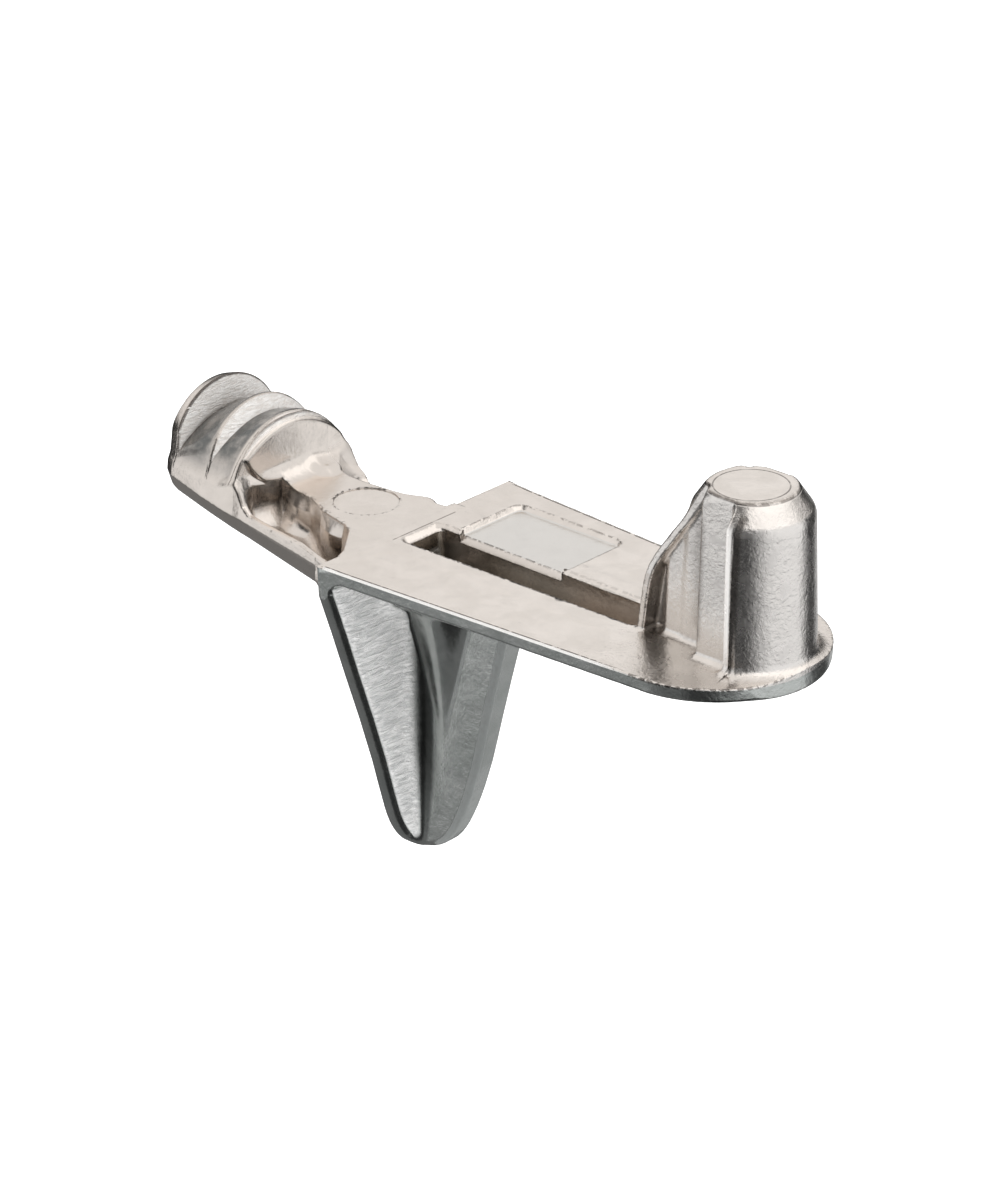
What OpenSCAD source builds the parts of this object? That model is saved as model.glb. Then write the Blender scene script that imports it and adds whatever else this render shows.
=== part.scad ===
// Shelf support pin: one die casting with a barbed plug, a shelf plate, a panel plate and a locating stud.
// Frame: origin where the shelf seat, the panel face and the centreline meet. +X out of the panel, +Z up.

/* [Shelf plate] */
// Width of the shelf plate at the panel face
plate_w = 7.96; // [7.6:0.02:8.4]
// Thickness of the shelf plate
plate_t = 0.42; // [0.38:0.01:0.5]
// Taper of each long edge, in degrees
plate_taper = 3.66; // [3:0.1:4.4]
// Centre of the round end, measured from the panel face
plate_end_x = 11; // [10.8:0.05:11.4]
// Size of the broken corners at the panel face
plate_corner = 0.12; // [0.05:0.01:0.2]

/* [Slot and recess] */
// Distance from the panel face to the slot
slot_x0 = 0.46; // [0.46:0.02:0.7]
// Far end of the slot
slot_x1 = 9.1; // [8.6:0.05:9.1]
// Width of the slot
slot_w = 1.62; // [1.4:0.02:1.66]
// Offset of the slot from the centreline
slot_off = -0.32; // [-0.4:0.02:-0.28]
// Corner radius of the slot
slot_r = 0.22; // [0.1:0.01:0.3]
// Bottom of the slot, measured down from the shelf seat
slot_deep = 1.45; // [1:0.05:1.5]
// Width of the bevel along the slot and the recess
bevel = 0.14; // [0.08:0.01:0.16]
// Start of the recess
recess_x0 = 1.28; // [1.2:0.02:1.6]
// End of the recess
recess_x1 = 5.24; // [4.8:0.02:5.4]
// Far side of the recess
recess_y1 = 3.04; // [2.8:0.02:3.1]
// Depth of the recess
recess_deep = 0.17; // [0.1:0.01:0.2]

/* [Panel plate] */
// Distance from the shelf seat down to the tip
panel_drop = 10.46; // [10:0.05:11]
// Thickness of the panel plate
panel_t = 0.46; // [0.4:0.01:0.5]
// Radius of the tip
panel_tip_r = 0.9; // [0.8:0.05:1]
// Slope of each side edge, in degrees from upright
panel_edge_deg = 19.47; // [19:0.1:19.9]
// Straight upper part of the side edges
panel_upright = 0.88; // [0.7:0.02:1]

/* [Gusset] */
// Half width of the gusset
rib_half = 0.39; // [0.36:0.01:0.45]
// Reach of the gusset just under the shelf plate
rib_reach = 4.3; // [4.1:0.05:4.5]
// Wall thickness of the hollow rib around the slot
rib_wall = 0.34; // [0.3:0.01:0.4]

/* [Plug] */
// Radius of the first barb, nearest the tip
barb_r1 = 2.214; // [2.1:0.01:2.25]
// Radius of the second barb
barb_r2 = 2.386; // [2.3:0.01:2.4]
// Radius of the third barb, nearest the collar
barb_r3 = 2.474; // [2.4:0.01:2.5]
// Length of the plug from the panel face to its tip
plug_len = 8.1; // [8:0.02:8.2]
// Relief angle of the underside, in degrees
relief = 12; // [11:0.1:13]
// Half width of the plug
plug_half = 2.37; // [2.34:0.01:2.4]
// Thickness of the pocket walls
pocket_wall = 0.22; // [0.18:0.01:0.26]
// Distance from the panel face to the collar face
collar_x = 4.9; // [4.84:0.01:4.94]

/* [Stud] */
// Distance from the panel face to the stud axis
stud_x = 12.33; // [12.3:0.01:12.4]
// Height of the stud above the shelf seat
stud_h = 4.874; // [4.6:0.02:5]
// Radius of the stud at its top face
stud_top_r = 1.243; // [1.1:0.01:1.3]
// Radius under the top bevel
stud_r = 1.714; // [1.65:0.01:1.75]
// Draft of the stud wall, in degrees
stud_draft = 1.9; // [1:0.1:2]
// Radius of the fillet at the foot of the stud
stud_fillet = 0.45; // [0.3:0.01:0.5]
// Half width of the stud behind its lips
stud_flat = 1.257; // [1.2:0.01:1.3]

/* [Hidden] */
$fn = 64;
eps = 0.01;

// Half width of the round end that is tangent to both tapered edges
end_r = (plate_w / 2 - plate_end_x * tan(plate_taper)) * cos(plate_taper);
stud_foot_r = stud_r + (stud_h - 0.7) * tan(stud_draft);

// A prism whose section lies in the XZ plane, centred on y
module side_prism(points, half) {
    translate([0, half, 0]) rotate([90, 0, 0]) linear_extrude(2 * half) polygon(points);
}

// A prism whose section lies in the YZ plane, running from x to x + length
module end_prism(points, x, length) {
    translate([x, 0, 0]) rotate([90, 0, 90]) linear_extrude(length) polygon(points);
}

// A cone or cylinder along X
module x_cone(x0, ra, x1, rb, z) {
    translate([x0, 0, z]) rotate([0, 90, 0]) cylinder(h = x1 - x0, r1 = ra, r2 = rb);
}

// A rounded rectangle between two corners
module round_rect(a, b, r) {
    union() {
        translate([a[0] + r, a[1]]) square([b[0] - a[0] - 2 * r, b[1] - a[1]]);
        translate([a[0], a[1] + r]) square([b[0] - a[0], b[1] - a[1] - 2 * r]);
        for (x = [a[0] + r, b[0] - r], y = [a[1] + r, b[1] - r]) translate([x, y]) circle(r, $fn = 32);
    }
}

// Outline of the shelf plate
module plate_outline() {
    tx = plate_end_x + end_r * sin(plate_taper);
    ty = end_r * cos(plate_taper);
    union() {
        polygon([
            [0, -plate_w / 2 + plate_corner], [plate_corner, -plate_w / 2],
            [tx, -ty], [tx, ty],
            [plate_corner, plate_w / 2], [0, plate_w / 2 - plate_corner]
        ]);
        translate([plate_end_x, 0]) circle(end_r, $fn = 96);
    }
}

module shelf_plate() {
    translate([0, 0, -plate_t]) linear_extrude(plate_t) plate_outline();
}

// Opening of the slot: straight walls, with a bevel along the far side and the panel side
module slot_cut() {
    y0 = slot_off - slot_w / 2;
    y1 = slot_off + slot_w / 2;
    translate([0, 0, -slot_deep]) linear_extrude(slot_deep + 0.5)
        round_rect([slot_x0 + bevel, y0], [slot_x1, y1 - bevel], slot_r);
    // bevels
    translate([0, 0, 0]) intersection() {
        translate([0, 0, -plate_t]) linear_extrude(plate_t + 0.5)
            round_rect([slot_x0, y0], [slot_x1, y1], slot_r);
        union() {
            side_long(y1, y0);
            side_prism([
                [slot_x0, 0.01], [slot_x0 + bevel, -0.2], [slot_x0 + bevel + 0.4, -0.2],
                [slot_x0 + bevel + 0.4, 0.5], [slot_x0, 0.5]
            ], 2);
        }
    }
}

// Bevelled strip along the far side of the slot
module side_long(y1, y0) {
    end_prism([
        [y1, 0.01], [y1 - bevel, -0.2], [y1 - bevel - 0.4, -0.2],
        [y1 - bevel - 0.4, 0.5], [y1, 0.5]
    ], slot_x0, slot_x1 - slot_x0);
}

// Shallow recess beside the slot, with a lowered rim between the two
module recess_cut() {
    y0 = slot_off + slot_w / 2 - bevel;
    translate([0, 0, -recess_deep]) linear_extrude(1)
        union() {
            round_rect([recess_x0, y0], [recess_x1, recess_y1], 0.38);
            translate([recess_x0, y0 - 0.05]) square([recess_x1 - recess_x0, 1]);
        }
}

// Outline of the panel plate, seen along X
module panel_outline() {
    r = panel_tip_r;
    c = [0, -panel_drop + r];
    ty = r * cos(panel_edge_deg);
    tz = c[1] - r * sin(panel_edge_deg);
    // height where the sloping edges reach the full width
    full = tz + (plate_w / 2 + 0.04 - ty) / tan(panel_edge_deg);
    top = min(full, -panel_upright);
    wide = ty + (top - tz) * tan(panel_edge_deg);
    union() {
        polygon([
            [-wide, top], [-ty, tz], [ty, tz], [wide, top],
            [plate_w / 2 - plate_corner, -0.2], [-plate_w / 2 + plate_corner, -0.2]
        ]);
        translate(c) circle(r);
    }
}

module panel_plate() {
    rotate([90, 0, 90]) linear_extrude(panel_t) panel_outline();
}

// Central gusset with a rounded toe, and its fillets to the two plates
module gusset() {
    top = -plate_t + eps;
    f = 0.29;
    side_prism([
        [0.1, -panel_drop + 0.3], [0.3, -panel_drop + 0.03], [0.54, -panel_drop + 0.09], [1.17, -panel_drop + 0.49],
        [1.77, -9.4], [2.17, -8.8], [2.49, -7.9], [2.69, -7.2], [3.03, -5.8], [3.37, -4.4], [rib_reach - 0.59, -3],
        [rib_reach - 0.1, -1.1], [rib_reach + 0.12, -0.65], [rib_reach + 0.5, top], [0.1, top]
    ], rib_half);
    // fillet along the panel plate, on each side of the gusset
    for (side = [0, 1]) mirror([0, side, 0]) intersection() {
        difference() {
            translate([panel_t - eps, rib_half - eps, -panel_drop + 1]) cube([f, f, panel_drop - 1 - plate_t]);
            translate([panel_t + f, rib_half + f, -panel_drop]) cylinder(h = panel_drop, r = f, $fn = 32);
        }
        translate([0, -0.4, 0]) panel_shadow(4);
    }
    // fillet under the shelf plate, along the panel plate
    difference() {
        translate([panel_t - eps, -plate_w / 2 + 0.45, -plate_t - f]) cube([f, plate_w - 0.9, f + eps]);
        translate([panel_t + f, plate_w, -plate_t - f]) rotate([90, 0, 0]) cylinder(h = 2 * plate_w, r = f, $fn = 32);
    }
}

// Outline of the panel plate, swept forward to a given depth
module panel_shadow(depth) {
    rotate([90, 0, 90]) linear_extrude(depth) panel_outline();
}

module slot_rib() {
    y0 = slot_off - slot_w / 2 - rib_wall;
    y1 = slot_off + slot_w / 2 + rib_wall - 0.1;
    translate([0.1, y0, -slot_deep - 0.3]) cube([slot_x1 + 0.25, y1 - y0, slot_deep + 0.3 - plate_t + eps]);
}

// Underside of the plug: relieved flat with a bevel on each side, rising toward the tip
module plug_bed(lift = 0) {
    z0 = -2.17 + lift;
    // ends lie beyond both ends of the plug
    rotate([0, relief, 0]) translate([0, 0, z0 * cos(relief)]) end_prism([
        [-plug_half - 0.01, 8], [-plug_half - 0.01, 0.22], [-1.66, -0.5], [1.66, -0.5],
        [plug_half + 0.01, 0.22], [plug_half + 0.01, 8]
    ], -10, 12);
}

module plug_head() {
    intersection() {
        union() {
            // body between the barbs
            intersection() {
                x_cone(-plug_len, 2.86, -collar_x, 2.86, -1.2);
                translate([-plug_len, -plug_half, -4]) cube([plug_len - collar_x, 2 * plug_half, 8]);
            }
            // barbs, from the tip to the collar
            x_cone(-plug_len, barb_r1 - 0.05, -7.71, barb_r1, 0.19);
            x_cone(-7.71, barb_r1, -7.51, barb_r1 - 0.86, 0.19);
            x_cone(-7.51, barb_r2 - 0.63, -6.37, barb_r2, -0.21);
            x_cone(-6.37, barb_r2, -6, barb_r2 - 0.43, -0.21);
            x_cone(-6.06, barb_r3 - 0.16, -5.29, barb_r3, -0.57);
            x_cone(-5.29, barb_r3, -5.06, barb_r3 - 0.21, -0.57);
        }
        translate([-plug_len, -plug_half - 0.02, -4]) cube([plug_len - collar_x, 2 * plug_half + 0.04, 8]);
        plug_bed();
    }
}

// Plan of one pocket: from the edge of the neck web out to the thin wall
module pocket_plan(edge, side) {
    inner = plug_half - pocket_wall;
    n = len(edge) - 1;
    polygon(concat(
        [for (p = edge) [p[0], side * p[1]]],
        [[edge[n][0] + (inner - edge[n][1]) * 0.79, side * inner], [-collar_x + 0.02, side * inner]]
    ));
}

// Edges of the neck web, from the collar to the panel, on the near side and the far side
near_edge = [[-collar_x + 0.02, 0.53], [-3.39, 0.77], [-2.63, 1.13], [-1.48, 1.41], [-1.05, 1.67]];
far_edge = [[-collar_x + 0.02, 1.46], [-4.1, 1.13], [-2.9, 1.1], [-2.2, 1.26], [-1.6, 1.45], [-1.05, 1.67]];

module neck() {
    difference() {
        intersection() {
            translate([-collar_x - 0.01, -plug_half, -4]) cube([collar_x + 0.02, 2 * plug_half, 4]);
            plug_bed();
        }
        // pockets
        intersection() {
            translate([0, 0, -4]) linear_extrude(5) union() {
                pocket_plan(near_edge, -1);
                pocket_plan(far_edge, 1);
            }
            plug_bed(0.85);
        }
        // tops of the thin walls, falling toward the panel
        for (side = [-1, 1]) translate([0, side * (plug_half - 0.05), 0]) side_prism([
            [-collar_x + 0.02, 0.5], [-collar_x + 0.02, -0.1], [-4.5, -0.4], [-3.9, -0.48], [-2.37, -0.66], [-1.57, -0.92],
            [-0.5, -1.2], [-0.5, 0.5]
        ], pocket_wall + 0.08);
    }
    // flare between the neck and the back of the shelf plate
    for (side = [0, 1]) mirror([0, side, 0]) translate([0, 0, -1.25]) linear_extrude(1.25)
        polygon([[0, 1], [-1.05, 1], [-1.05, 1.67], [0, 2.75]]);
}

module stud_profile() {
    f = stud_fillet;
    polygon(concat(
        [[0, -plate_t / 2], [stud_foot_r + f * 0.9, -plate_t / 2]],
        [for (a = [0 : 15 : 90]) [stud_foot_r + f * (1 - sin(a)) , f * (1 - cos(a))]],
        [[stud_r, stud_h - 0.72]],
        [for (a = [15 : 15 : 45]) [stud_r - 0.3 * (1 - cos(a)), stud_h - 0.72 + 0.3 * sin(a)]],
        [[stud_top_r + 0.03, stud_h - 0.02], [stud_top_r, stud_h], [0, stud_h]]
    ));
}

// Plan of the stud's back: end fin, web, column and the flat sides under the top
module stud_back_plan() {
    translate([9.1, -1.03]) square([0.44, 2.06]);
    translate([9.4, -0.46]) square([0.6, 0.92]);
    translate([9.82, -0.7]) square([1.8, 1.4]);
}

module stud() {
    // round front with a lip down each side, on flat sides
    intersection() {
        translate([stud_x, 0, 0]) rotate_extrude($fn = 96) stud_profile();
        translate([0, 0, -1]) linear_extrude(8) intersection() {
            plate_outline();
            union() {
                translate([stud_x + 0.4, -3]) square([4, 6]);
                translate([stud_x - 0.8, -stud_flat]) square([3, 2 * stud_flat]);
                translate([stud_x - 1.6, -0.7]) square([3, 1.4]);
            }
        }
    }
    // back, cut off by the ramp
    intersection() {
        translate([0, 0, -0.1]) linear_extrude(stud_h + 0.1) stud_back_plan();
        side_prism([
            [9.15, -0.2], [9.31, 0.69], [9.43, 1.57], [9.49, 2.03], [9.86, 2.6], [10.53, 3.51], [11.34, stud_h],
            [12, stud_h], [12, -0.2]
        ], 2);
    }
}

module shelf_support() {
    color([0.72, 0.7, 0.67]) union() {
        difference() {
            union() {
                shelf_plate();
                panel_plate();
                gusset();
                slot_rib();
            }
            slot_cut();
            recess_cut();
        }
        plug_head();
        neck();
        stud();
    }
}

shelf_support();
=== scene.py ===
import bpy
import math
import time
import numpy as np
from mathutils import Vector, Matrix


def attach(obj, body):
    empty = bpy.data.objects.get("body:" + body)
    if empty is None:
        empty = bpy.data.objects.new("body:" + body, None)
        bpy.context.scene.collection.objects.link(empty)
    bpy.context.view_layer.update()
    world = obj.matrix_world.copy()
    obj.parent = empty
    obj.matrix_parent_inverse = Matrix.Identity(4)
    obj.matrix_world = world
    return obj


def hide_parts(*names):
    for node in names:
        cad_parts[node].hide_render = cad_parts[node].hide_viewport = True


T0 = time.time()
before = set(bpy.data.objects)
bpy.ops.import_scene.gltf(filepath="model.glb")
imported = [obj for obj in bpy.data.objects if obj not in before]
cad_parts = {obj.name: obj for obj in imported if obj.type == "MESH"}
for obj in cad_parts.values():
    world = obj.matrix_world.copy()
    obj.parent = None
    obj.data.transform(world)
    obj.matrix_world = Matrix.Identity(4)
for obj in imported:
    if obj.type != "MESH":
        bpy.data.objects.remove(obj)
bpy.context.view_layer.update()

# ------------------------------------------------------------------------------------------------
# The casting is one solid, written as a signed distance function in units of 1/35 mm, in the CAD
# frame: origin on the shelf seat at the panel face, +X out of the panel, +Z up.
# ------------------------------------------------------------------------------------------------
U = 0.001 / 35.0
F32 = np.float32


def rmin(a, b, r):
    """union with a fillet of radius r"""
    u = np.maximum(r - a, 0)
    v = np.maximum(r - b, 0)
    return np.maximum(r, np.minimum(a, b)) - np.sqrt(u * u + v * v)


def rmax(a, b, r):
    """intersection with a round of radius r"""
    u = np.maximum(r + a, 0)
    v = np.maximum(r + b, 0)
    return np.minimum(-r, np.maximum(a, b)) + np.sqrt(u * u + v * v)


def poly(px, py, pts):
    """signed distance to a closed polygon, negative inside"""
    d = np.full(px.shape, 1e12, F32)
    s = np.ones(px.shape, F32)
    n = len(pts)
    for i in range(n):
        ax, ay = pts[i]
        bx, by = pts[i - 1]
        ex, ey = bx - ax, by - ay
        wx, wy = px - ax, py - ay
        t = np.clip((wx * ex + wy * ey) / (ex * ex + ey * ey), 0, 1)
        qx, qy = wx - ex * t, wy - ey * t
        np.minimum(d, qx * qx + qy * qy, out=d)
        c1 = py >= ay
        c2 = py < by
        c3 = ex * wy > ey * wx
        flip = (c1 & c2 & c3) | (~c1 & ~c2 & ~c3)
        s[flip] *= -1
    return s * np.sqrt(d)


def soften(pts, i0, i1):
    """cuts the corners of an outline between two of its points"""
    out = list(pts[:i0])
    for i in range(i0, i1):
        (ax, ay), (bx, by) = pts[i], pts[i + 1]
        out += [(0.75 * ax + 0.25 * bx, 0.75 * ay + 0.25 * by), (0.25 * ax + 0.75 * bx, 0.25 * ay + 0.75 * by)]
    return out + list(pts[i1 + 1:])


def in_box(x, y, z, lo, hi, fn, margin=26.0):
    """evaluates fn only near its box; elsewhere gives a lower bound on the distance"""
    dx = np.maximum(np.maximum(lo[0] - x, x - hi[0]), 0)
    dy = np.maximum(np.maximum(lo[1] - y, y - hi[1]), 0)
    dz = np.maximum(np.maximum(lo[2] - z, z - hi[2]), 0)
    d = np.sqrt(dx * dx + dy * dy + dz * dz)
    near = d < margin
    out = d.astype(F32)
    if near.any():
        out[near] = fn(x[near], y[near], z[near])
    return out


# ---- shelf plate ----
HW0 = 139.6
TAPER = math.radians(3.66)
END_X = 386.3
END_R = (HW0 - END_X * math.tan(TAPER)) * math.cos(TAPER) + 0.4
PLATE_T = 14.8


def plate2d(x, y):
    ay = np.abs(y)
    s = (x - END_X) * math.cos(TAPER) - ay * math.sin(TAPER)
    line = (ay - HW0 + x * math.tan(TAPER)) * math.cos(TAPER)
    circ = np.hypot(x - END_X, y) - END_R
    return rmax(np.where(s > 0, circ, line), -x - 1.0, 6.0)


def slot2d(x, y, z):
    """the long slot: plain near side, bevels on the far side and at the panel end"""
    near = (-41.6 + 0.0238 * x) - y
    far = (y - 13.8 - np.clip(z + 3.6, 0, 3.4)) * 0.8
    left = (22.2 - np.clip(z + 6.3, 0, 6.3) - x) * 0.8
    a = rmax(rmax(near, left, 9.0), far, 6.0)
    return rmax(a, x - 319.5, 8.0)


def recess2d(x, y):
    a = rmax(y - 106.6, 44.2 - x, 13.0)
    return rmax(a, x - 187.0, 13.0)


def plate(x, y, z):
    p = rmax(plate2d(x, y) - 0.045 * z, z, 2.0)
    return rmax(p, -z - PLATE_T, 3.0)


V_OUT = [(139.6, 60), (139.6, -31), (122.0, -80), (104.6, -131), (84.6, -188), (66.8, -243), (58.4, -273),
         (51.6, -297), (44.8, -317), (38.2, -330), (30.6, -341.5), (21.5, -351), (12.0, -356.5), (3.0, -359), (-8, -359.6),
         (-80, -359.6), (-80, 60)]
V_OUT = soften(V_OUT, 7, 13)


def panel(x, y, z):
    v = rmax(poly(np.abs(y), z, V_OUT), x - 16.0, 12.0)
    v = rmax(v, -x - 1.0, 1.6)
    return rmax(v, z + 6.0, 1.0)


RIB_OUT = [(155, 0), (132, -95), (120.5, -139), (110, -181), (102.5, -212), (95.5, -240), (88, -265), (78.5, -291),
           (71.5, -307), (63.0, -324), (52.5, -338.5), (41.0, -348), (29.0, -354), (17.0, -357), (5, -358), (-40, -358),
           (-40, 0)]
RIB_OUT = soften(RIB_OUT, 6, 14)


def gusset(x, y, z):
    ay = np.abs(y)
    d2 = poly(x, z, RIB_OUT)
    hw = 13.2 + 0.013 * (z + 366.0)
    g = rmax(d2, ay - hw, 8.0)
    # the rib swells like a cone into the walls of the slot as it nears the shelf plate
    h = (np.hypot(x - 50.0, np.maximum(ay - 10.0, 0)) - 0.27 * (z + 182.0)) * 0.96
    h = rmax(h, ay - 53.0, 10.0)
    h = rmax(h, d2, 6.0)
    g = rmin(g, h, 16.0)
    g = rmax(g, -x + 2.0, 1.0)
    return rmax(g, z + 8.0, 1.0)


def slot_rib(x, y, z):
    b = rmax(np.abs(y + 12.3) - 42.0, -z - np.interp(x, [120, 320], [64, 52]).astype(F32), 16.0)
    b = rmax(b, x - 330.0, 10.0)
    b = rmax(b, 3.0 - x, 2.0)
    return rmax(b, z + 8.0, 1.0)


def body_plate(x, y, z):
    p = plate(x, y, z)
    v = in_box(x, y, z, (0, -140, -366), (16, 140, -6), panel, 44)
    g = in_box(x, y, z, (2, -58, -366), (156, 58, -6), gusset, 44)
    b = in_box(x, y, z, (2, -56, -66), (332, 32, -6), slot_rib, 40)
    g = rmin(g, b, 16.0)
    v = rmin(v, g, np.interp(z, [-366, -335, -230], [7, 14, 27]).astype(F32))
    p = rmin(p, v, 15.0)
    # the fillets stay inside the outlines that the plates share
    p = np.maximum(p, np.maximum(poly(np.abs(y), z, V_OUT), -x - 1.0))
    p = np.maximum(p, (np.abs(y) - HW0 + x * math.tan(TAPER)) * math.cos(TAPER) - 0.045 * z)
    p = rmax(p, z, 1.2)
    low = z < -100
    if low.any():
        p = np.where(low, np.maximum(p, poly(x, z, RIB_OUT)), p)
    s2 = slot2d(x, y, z)
    p = rmax(p, -rmax(s2, -z - np.interp(x, [120, 320], [52, 41]).astype(F32), 8.0), 0.8)
    # the shallow recess beside the slot, open towards it
    r2 = recess2d(x, y)
    wall = (r2 - z * 0.78) * 0.79
    rc = rmax(wall, -z - 5.6, 1.2)
    mouth = 19.0 - y
    rc = rmax(rc, mouth, 1.0)
    # a light chamfer from the recess down to the slot
    ch = np.maximum(np.maximum((-z - 5.6 - (19.0 - y) * 1.2) * 0.64, y - 21.0), np.maximum(r2 + 4.0, 13.0 - y))
    return np.maximum(np.maximum(p, -rc), -ch)


# ---- plug ----
C1 = (-270.0, 77.8, 6.8)
C2 = (-223.0, 83.5, -7.4)
C3 = (-185.0, 86.6, -19.9)


def through(x, top, fy, fz):
    dz = top - fz
    r = (dz * dz + fy * fy) / (2 * dz)
    return (x, r, top - r)


G1 = through(-262.0, 54.0, 78.5, 15.0)
G2 = through(-211.0, 60.0, 82.0, 16.0)
G3 = through(-177.0, 59.5, 80.0, 20.0)
E0 = (-285.0, 72.5, 7.0)
RIM = (-173.5, 92.0, -37.5)


def skew_cone(x, y, z, a, b, first=-1.0):
    """surface through two circles that stand square to x"""
    t = (x - a[0]) / (b[0] - a[0])
    t = np.clip(t, first, 2.0)
    r = a[1] + (b[1] - a[1]) * t
    c = a[2] + (b[2] - a[2]) * t
    slope = ((b[1] + b[2]) - (a[1] + a[2])) / np.maximum(b[0] - a[0], 7.0)
    d = np.hypot(y, np.maximum(z - c, 0)) - r - 0.35 * np.maximum(c - z, 0)
    return d / np.sqrt(1.0 + slope * slope)


def bed_z(x):
    return -75.9 - 0.2127 * x


def side_face(x, y, z):
    """the plug's flat flanks: a little draft below the parting line"""
    w = np.interp(x, [-286, -283, -278, -270, -223, -190, -176, -168], [68, 72, 75.5, 78.8, 84.0, 85.5, 85.0, 83.8]).astype(F32)
    part = -5.4 - 0.165 * (x + 252.0)
    draft = np.clip((part - z) / 17.0, 0, 3)
    lean = np.clip(z - part, 0, 34) * 0.115
    return (np.abs(y) - w + 6.0 * draft + lean) * 0.95


def bed(x, y, z):
    zb = bed_z(x)
    b1 = (zb - 16.0 - z) * 0.978
    b2 = ((np.abs(y) - 78.0) * 0.55 - (z - zb) * 0.83)
    return rmax(b1, b2, 14.0)


RIDGE_X = [-200, -179, -174, -169, -163, -155, -137, -110, -83, -55, -20, 20]
RIDGE_Z = [4, 6.5, 3, -3.5, -9, -13, -16, -19, -22, -30, -38, -43]

WEB = [
    (-330, -130), (-173.5, -130), (-172.5, -58), (-170.5, -46.5), (-168.5, -36), (-166.5, -22), (-158, -20.5),
    (-118.5, -27), (-92, -39.6), (-51.8, -49.2), (-36.8, -58.3), (-8, -96), (-3, -108), (30, -108),
    (30, 62), (-4.5, 62), (-6, 51), (-16, 49.2), (-24, 53.5), (-31.5, 55.2), (-40.4, 52.5), (-48, 48.7), (-57, 45),
    (-68, 43), (-88, 41), (-100, 40), (-114, 39), (-130, 39.5), (-146, 43), (-157, 50), (-164, 62), (-168, 78), (-169, 130), (-330, 130),
]


def plug(x, y, z):
    ay = np.abs(y)
    env = skew_cone(x, y, z, C1, C3)
    # each tooth and the groove beside it run together at the flanks
    q = np.clip((ay - 34.0) / 46.0, 0, 1) ** 2
    c1, g1 = (C1[0] + 2.0 * q, C1[1], C1[2]), (G1[0] - 5.0 * q, G1[1], G1[2])
    c2, g2 = (C2[0] + 4.5 * q, C2[1], C2[2]), (G2[0] - 6.5 * q, G2[1], G2[2])
    c3, g3 = (C3[0] + 6.0 * q, C3[1], C3[2]), (G3[0] - 1.0 * q, G3[1], G3[2])
    t1 = rmax(skew_cone(x, y, z, c1, g1, 0.0), skew_cone(x, y, z, E0, c1), 0.8)
    t2 = rmax(skew_cone(x, y, z, c2, g2, 0.0), skew_cone(x, y, z, g1, c2), 0.8)
    t3 = rmax(skew_cone(x, y, z, c3, g3, 0.0), skew_cone(x, y, z, g2, c3), 0.8)
    t4 = skew_cone(x, y, z, g3, RIM)
    t1 = np.where(x > -257.5, 60.0, t1)
    t2 = np.where((x < -267.0) | (x > -205.0), 60.0, t2)
    t3 = np.where(x < -216.0, 60.0, t3)
    top = np.minimum(np.minimum(t1, t2), t3)
    top = np.where(x > -183, np.minimum(t3, t4), top)
    top = rmax(top, env, 1.5)
    side = side_face(x, y, z)
    head = rmax(top, side, 9.0)
    head = rmax(head, -x - 285.0, 3.0)
    # below the arris of the collar the end of the near pocket is set back
    deep_end = np.clip((np.hypot(y + 10.0, z - 55.0) - 55.0) / 4.5, 0, 1) * np.clip((-10.0 - y) / 6.0, 0, 1)
    collar = (x + 171.0 + 0.06 * z + 5.0 * deep_end * deep_end * (3 - 2 * deep_end)) * 0.8
    head = rmax(head, collar, 1.3)
    # flat of the neck, with the scooped foot of the collar
    slab = rmax(z - 0.2, ay - 120.0, 1.0)
    up = rmin(head, slab, 21.0)
    swell = 6.5 * np.exp(-((x + 139.0) / 19.0) ** 2) + 8.0 * np.exp(-((x + 72.0) / 20.0) ** 2)
    deep = np.interp(z, [-30, -16, -9, -3], [1.0, 0.85, 0.4, 0.0]).astype(F32)
    web = rmax(up, (poly(x, y, WEB) - swell * deep * (y < 0)) * 0.85, 2.0)
    # pocket floor and thin walls
    floor = (z - (bed_z(x) + 8.0)) * 0.978
    zr = np.interp(x, RIDGE_X, RIDGE_Z).astype(F32)
    far_z = np.interp(x, [-200, -179, -170, -158, -140, -110, -20], [4, 6, 0, -14, -29, -33, -42]).astype(F32)
    zr = np.where(y > 0, far_z, zr)
    inner = np.where(y > 0, 75.5 - np.clip(zr - z, 0, 30) * 0.9, 75.5)
    wall = rmax(rmax(ay - 83.8, (inner - ay) * np.where(y > 0, 0.75, 1.0), 2.2), (z - zr) * 0.93, 2.2)
    wall = rmax(wall, -x - 184.0, 4.0)
    low = rmin(wall, floor, 16.0)
    # cheek on the far side, between the collar and the pocket
    cheek = rmax(rmax(z + 3.0 + 0.34 * (y - 40.0), x + 151.0, 5.0), 30.0 - y, 2.0)
    cheek = rmax(cheek, -x - 180.0, 1.0)
    low = rmin(low, cheek, 8.0)
    rr = np.interp(x, [-176, -150, -120], [20, 16, 10]).astype(F32)
    n = rmin(web, low, rr)
    n = rmax(n, np.where(x < -60, side, ay - 83.6 - 60.0 * np.clip((x + 30.0) / 30.0, 0, 1) * (z > -40)), 2.0)
    n = rmax(n, bed(x, y, z), 6.0)
    n = rmax(n, x - 12.0, 1.0)
    n = rmax(n, -x - 285.0, 3.5)
    # ejector mark
    disc = rmax(np.hypot(x + 72.5, y - 4.5) - 33.7, -z - 1.0, 0.2)
    return np.maximum(n, -disc)


# ---- stud ----
SX = 431.5
RAMP = [(321.3, -14), (323.2, 5), (325.6, 24), (328, 42), (330.5, 56), (334.5, 69), (340, 80.5), (347.5, 93),
        (357.5, 108), (368.5, 123.5), (382.5, 146), (397, 170.6), (398.5, 176), (480, 176), (480, -14)]


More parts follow.
